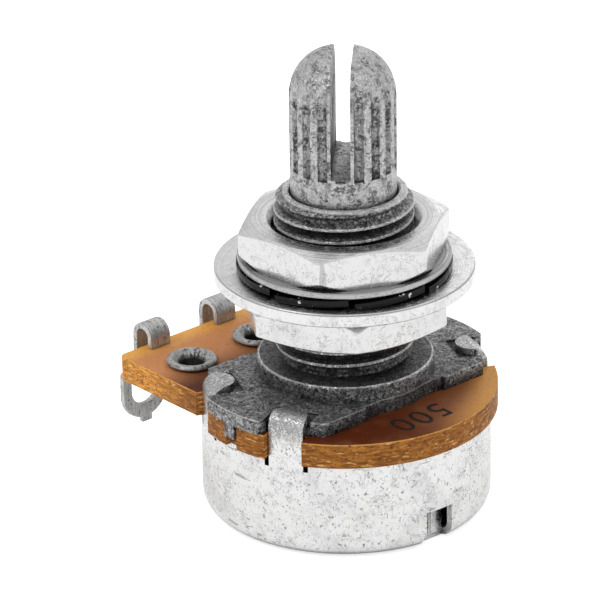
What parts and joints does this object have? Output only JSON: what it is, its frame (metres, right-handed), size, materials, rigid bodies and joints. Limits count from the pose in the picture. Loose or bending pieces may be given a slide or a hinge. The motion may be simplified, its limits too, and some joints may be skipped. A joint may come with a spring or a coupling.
{
  "type": "rotary potentiometer",
  "caption": "Panel rotary potentiometer: split splined shaft in a threaded bushing with nuts and washers, round sheet-metal can, rear board with loop solder lugs.",
  "frame": {"origin": "on the shaft axis, in the plane of the can's flat back", "axes": "+Z runs along the shaft towards its splined tip; +Y points from the shaft to the row of solder lugs; +X runs along that row, to the right seen from the shaft's tip with the row at the top"},
  "size_m": [0.0176, 0.0208, 0.0273],
  "materials": {
    "plated_steel": "bright plated sheet steel with fine rub marks",
    "laminate": "brown paper laminate with a punched edge",
    "carbon_track": "printed carbon",
    "silver_print": "printed silver",
    "tinned_brass": "tinned sheet, lightly brushed",
    "tinned_eyelet": "tinned, creased by the riveting",
    "zinc_casting": "as-cast zinc, mottled grey",
    "shaft_metal": "matte grey, fine pits along the splines",
    "spring_steel": "blued spring steel",
    "washer_steel": "plain steel",
    "rotor_plastic": "moulded, cream",
    "spring_bronze": "bright sprung sheet",
    "nut_plating": "bright plated, worn at the corners",
    "washer_plating": "satin plated",
    "thin_washer_plating": "dull grey top with a bright rim",
    "black_steel": "glossy black oxide"
  },
  "bodies": {
    "frame": {"rear_cover": "plated_steel", "resistor_board": "laminate", "resistive_track": "carbon_track", "collector_ring": "silver_print", "terminal_left": "tinned_brass", "terminal_middle": "tinned_brass", "terminal_right": "tinned_brass", "eyelet_left": "tinned_eyelet", "eyelet_middle": "tinned_eyelet", "eyelet_right": "tinned_eyelet", "mounting_plate": "zinc_casting"},
    "shaft": {"shaft": "shaft_metal", "retaining_clip": "spring_steel", "thrust_washer": "washer_steel", "rotor": "rotor_plastic", "wiper_contact": "spring_bronze"},
    "washers": {"wide_washer": "washer_plating", "toothed_washer": "black_steel"},
    "thin_washer": {"thin_washer": "thin_washer_plating"},
    "lower_nut": {"lower_nut": "nut_plating"},
    "top_nut": {"top_nut": "nut_plating"}
  },
  "joints": [
    {"name": "shaft_turn", "type": "hinge", "parent": "frame", "child": "shaft", "pos_m": [0, 0, 0.02], "axis": [0, 0, 1], "range_deg": [-105, 195]},
    {"name": "washers_slide", "type": "slide", "parent": "frame", "child": "washers", "axis": [0, 0, 1], "range_m": [-0.0022, 0]},
    {"name": "lower_nut_turn", "type": "hinge", "parent": "washers", "child": "lower_nut", "pos_m": [0, 0, 0.0124], "axis": [0, 0, 1], "range_deg": [-1060, 0]},
    {"name": "thin_washer_slide", "type": "slide", "parent": "frame", "child": "thin_washer", "axis": [0, 0, 1], "range_m": [0, 0.0016]},
    {"name": "top_nut_turn", "type": "hinge", "parent": "thin_washer", "child": "top_nut", "pos_m": [0, 0, 0.0164], "axis": [0, 0, 1], "range_deg": [0, 770]}
  ],
  "couplings": [
    {"joint": "lower_nut_turn", "follows": "washers_slide", "rad_per_m": 8377.6},
    {"joint": "top_nut_turn", "follows": "thin_washer_slide", "rad_per_m": 8377.6}
  ]
}
